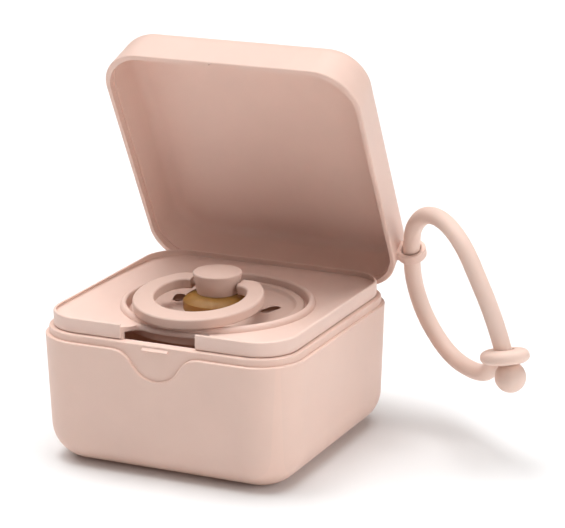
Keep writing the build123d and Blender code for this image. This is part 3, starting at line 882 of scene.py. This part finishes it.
class CASE_OT_shield(bpy.types.Operator):
    """Turn the pacifier's shield, with its rim bead and vent slots"""

    bl_idname = "case.shield"
    bl_label = "Pacifier shield"

    def execute(self, context):
        s = context.scene.case_shield
        rim_in = s.radius - s.rim_width
        bead, edge, slope = 0.7 * MM, 0.3 * MM, 0.9 * MM
        section = [
            (s.bore, s.web_bottom),
            (s.web_radius - slope, s.web_bottom),
            (s.web_radius, s.web_bottom + edge),
            (s.web_radius, s.seat),
            (s.radius - edge, s.seat),
            (s.radius, s.seat + edge),
        ]
        section += arc((s.radius - bead, s.rim_top - bead), bead, 0, 90, 6)
        section += [(rim_in + out * MM, s.rim_top + up * MM) for out, up in BEAD_FALL]
        section += [(rim_in + out * MM, s.web_top + up * MM) for out, up in WEB_RISE]
        section.append((s.bore, s.web_top))
        overhang = 2 * MM
        mesh = turned(
            "pacifier_shield_disc",
            section,
            "pacifier_plastic",
            ring=True,
            Segments=s.segments,
            Vent_offset=s.vent_offset,
            Vent_shift=s.vent_shift,
            Vent_lean=s.vent_lean,
            Vent_length=s.vent_length,
            Vent_width=s.vent_width,
            Vent_height=s.web_bottom - overhang,
        )
        # the vents' upper edges are softened: those between the bore and the rim bead
        vent_edge = 0.2 * MM
        nearest, farthest = s.bore * 1.3, s.vent_offset + s.vent_length
        low = s.web_top - 0.1 * MM
        soften(
            mesh, vent_edge, 40, lambda at: nearest < at.xy.length < farthest and at.z > low
        )
        smooth(mesh)
        shield = new_piece(
            "pacifier_shield_disc", mesh, "pacifier", "pacifier_plastic", ["pacifier_shield"]
        )
        even_shading(shield)
        return {"FINISHED"}


class CASE_OT_pacifier(bpy.types.Operator):
    """Dress the nipple, the knob and the ring handle"""

    bl_idname = "case.pacifier"
    bl_label = "Nipple, knob and ring"

    def execute(self, context):
        dress(
            context.scene,
            {
                "pacifier_nipple": "amber_latex",
                "pacifier_knob": "pacifier_plastic",
                "pacifier_ring": "pacifier_plastic",
            },
        )
        return {"FINISHED"}


class CASE_OT_strap(bpy.types.Operator):
    """Run the silicone strap from the lid's eye, with its ring end and its ball"""

    bl_idname = "case.strap"
    bl_label = "Strap"

    def stretch(self, name, points, node, sizes):
        """One free stretch: a NURBS tube whose control points are the route's."""
        line = bpy.data.curves.new(name, "CURVE")
        line.dimensions = "3D"
        spline = line.splines.new("NURBS")
        spline.points.add(len(points) - 1)
        for control, place in zip(spline.points, points):
            control.co = (*place, 1.0)
        spline.order_u = 3
        spline.use_endpoint_u = True
        spline.resolution_u = 12
        spline.use_smooth = True
        line.bevel_depth = sizes.diameter / 2
        line.bevel_resolution = 8
        line.use_fill_caps = True
        line.materials.append(finish_of(bpy.context.scene, "strap_silicone"))
        piece = bpy.data.objects.new(name, line)
        bpy.context.scene.collection.objects.link(piece)
        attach(piece, "lid")
        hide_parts(node)
        return piece

    def neck_rings(self, p0, p1, p2, p3, radius):
        """Rings along a Bezier path, from the strap's end into the flat ring."""
        taper = 0.3
        steps, sides = 10, 32
        rings = []
        for i in range(steps + 1):
            t = i / steps
            u = 1 - t
            centre = u**3 * p0 + 3 * u**2 * t * p1 + 3 * u * t**2 * p2 + t**3 * p3
            heading = u**2 * (p1 - p0) + 2 * u * t * (p2 - p1) + t**2 * (p3 - p2)
            heading.normalize()
            spread = radius * (1 - taper * t**2)
            across = heading.cross(Vector((0, 0, 1))).normalized()
            up = heading.cross(across)
            ring = []
            for k in range(sides):
                a = 2 * math.pi * k / sides
                ring.append(centre + across * spread * math.cos(a) + up * spread * math.sin(a))
            rings.append(ring)
        return rings

    def execute(self, context):
        s = context.scene.case_strap
        upper = self.stretch("strap_upper_cord", UPPER_STRETCH, "strap_upper", s)
        lower = self.stretch("strap_lower_cord", LOWER_STRETCH, "strap_lower", s)

        before, tip = Vector(UPPER_STRETCH[-2]), Vector(UPPER_STRETCH[-1])
        along = (tip - before).normalized()
        ring_middle = before.lerp(tip, s.ring_place)
        join = Vector(LOWER_STRETCH[-1])
        facing = Vector(s.ring_facing).normalized()

        def frame_along(axis):
            """The way to the neck, square to an axis, and the turn that lays a piece there."""
            towards = join - ring_middle
            towards = (towards - axis * towards.dot(axis)).normalized()
            return towards, Matrix((towards, axis.cross(towards), axis)).transposed().to_4x4()

        side, ring_turn = frame_along(facing)
        ball_turn = frame_along(along)[1]

        # the ring end: a flat ring with full round edges
        half = s.ring_thickness / 2
        round_edge = 0.94 * half
        section = arc((s.ring_radius - round_edge, 0), round_edge, -78, 78, 12)
        section += [(s.hole_radius + out * MM, half * share) for out, share in HOLE_EDGE]
        disc = turned("strap_ring_disc", section, "strap_silicone", ring=True, Segments=96)
        disc.transform(Matrix.Translation(ring_middle) @ ring_turn)
        smooth(disc)
        ring_end = new_piece("strap_ring_disc", disc, "lid", "strap_silicone", ["strap_ring_end"])
        even_shading(ring_end)

        # its neck, which the strap runs into
        leaving = (join - Vector(LOWER_STRETCH[-2])).normalized()
        inset, sink, bend = 1.5 * MM, 0.1 * MM, 1.5 * MM
        reach = ring_middle + side * (s.ring_radius - inset) - facing * sink
        neck_mesh = lofted(
            "strap_ring_neck",
            self.neck_rings(
                join, join + leaving * bend, reach + side * bend, reach, s.diameter / 2
            ),
        )
        smooth(neck_mesh)
        neck = new_piece("strap_ring_neck", neck_mesh, "lid", "strap_silicone")

        # the ball: a little flattened where it lies against the ring
        radius, flat = s.ball_radius, s.ball_sink * 0.6
        flat_radius = radius * 0.42
        steps, first_step = 24, 3
        section = [(0, flat), (flat_radius, flat)]
        for i in range(first_step, steps):
            a = math.pi * i / steps
            section.append((radius * math.sin(a), radius - s.ball_sink - radius * math.cos(a)))
        section.append((0, 2 * radius - s.ball_sink))
        ball_mesh = turned("strap_ball", section, "strap_silicone", Segments=64)
        ball_mesh.transform(Matrix.Translation(tip) @ ball_turn)
        smooth(ball_mesh, crease=60)
        ball = new_piece("strap_ball", ball_mesh, "lid", "strap_silicone", ["strap_ball_end"])

        return {"FINISHED"}


class CASE_OT_studio(bpy.types.Operator):
    """Set the floor, the light and the camera"""

    bl_idname = "case.studio"
    bl_label = "Studio"

    def execute(self, context):
        scene = context.scene
        s = scene.case_studio
        half = 6.0
        mesh = bpy.data.meshes.new("studio_floor")
        mesh.from_pydata(
            [(-half, -half, 0), (half, -half, 0), (half, half, 0), (-half, half, 0)],
            [],
            [(0, 1, 2, 3)],
        )
        floor = bpy.data.objects.new("studio_floor", mesh)
        scene.collection.objects.link(floor)
        mesh.materials.append(
            moulded("studio_floor", scene.case_colours.floor, rough=0.8, mottle=0.004, warm=0.0)
        )

        world = bpy.data.worlds.new("Studio room")
        world.use_nodes = True
        set_inputs(world.node_tree.nodes["Background"], Color=(1, 1, 1, 1), Strength=s.room)
        scene.world = world

        spread = math.radians(50)  # so wide a sun is as soft as a soft box
        for name, side in LIGHT_SIDES.items():
            sun = bpy.data.lights.new(name, "SUN")
            sun.energy = getattr(s, name.lower())
            sun.angle = spread
            lamp = bpy.data.objects.new(name, sun)
            lamp.rotation_mode = "QUATERNION"
            lamp.rotation_quaternion = Vector(side).to_track_quat("Z", "Y")
            scene.collection.objects.link(lamp)

        back = Vector(
            (
                math.sin(s.azimuth) * math.cos(s.elevation),
                -math.cos(s.azimuth) * math.cos(s.elevation),
                math.sin(s.elevation),
            )
        )
        right = Vector((0, 0, 1)).cross(back).normalized()
        straight = Matrix((right, back.cross(right), back))
        aim = (
            Matrix.Rotation(s.roll, 3, "Z")
            @ Matrix.Rotation(s.pitch, 3, "X")
            @ Matrix.Rotation(s.yaw, 3, "Y")
            @ straight
        )
        lens = bpy.data.cameras.new("Camera")
        lens.lens = s.lens
        lens.sensor_width = 36
        lens.clip_start, lens.clip_end = 0.01, 50
        camera = bpy.data.objects.new("Camera", lens)
        camera.matrix_world = Matrix.Translation(back * s.distance) @ aim.transposed().to_4x4()
        scene.collection.objects.link(camera)
        scene.camera = camera
        scene.view_settings.view_transform = "Standard"
        return {"FINISHED"}


OPERATORS = (
    CASE_OT_shells,
    CASE_OT_tray,
    CASE_OT_shield,
    CASE_OT_pacifier,
    CASE_OT_strap,
    CASE_OT_studio,
)


class CASE_PT_panel(bpy.types.Panel):
    """Sizes, colours and pieces of the sterilizer case"""

    bl_idname = "CASE_PT_panel"
    bl_label = "Sterilizer case"
    bl_space_type = "VIEW_3D"
    bl_region_type = "UI"
    bl_category = "Sterilizer case"

    def draw(self, context):
        for name, group in GROUPS.items():
            box = self.layout.box()
            box.label(text=group.__doc__.rstrip("."))
            settings = getattr(context.scene, name)
            for key in group.__annotations__:
                box.prop(settings, key)
        for operator in OPERATORS:
            self.layout.operator(operator.bl_idname)


def register():
    """Registers the settings, the operators and the panel."""
    for name, group in GROUPS.items():
        bpy.utils.register_class(group)
        setattr(bpy.types.Scene, name, bpy.props.PointerProperty(type=group))
    for item in (*OPERATORS, CASE_PT_panel):
        bpy.utils.register_class(item)


def unregister():
    """Takes them out again."""
    for item in reversed((*OPERATORS, CASE_PT_panel)):
        bpy.utils.unregister_class(item)
    for name, group in reversed(GROUPS.items()):
        delattr(bpy.types.Scene, name)
        bpy.utils.unregister_class(group)


def main():
    """Builds everything in order."""
    register()
    bpy.ops.case.shells()
    bpy.ops.case.tray()
    bpy.ops.case.shield()
    bpy.ops.case.pacifier()
    bpy.ops.case.strap()
    bpy.ops.case.studio()


if __name__ == "__main__":
    main()
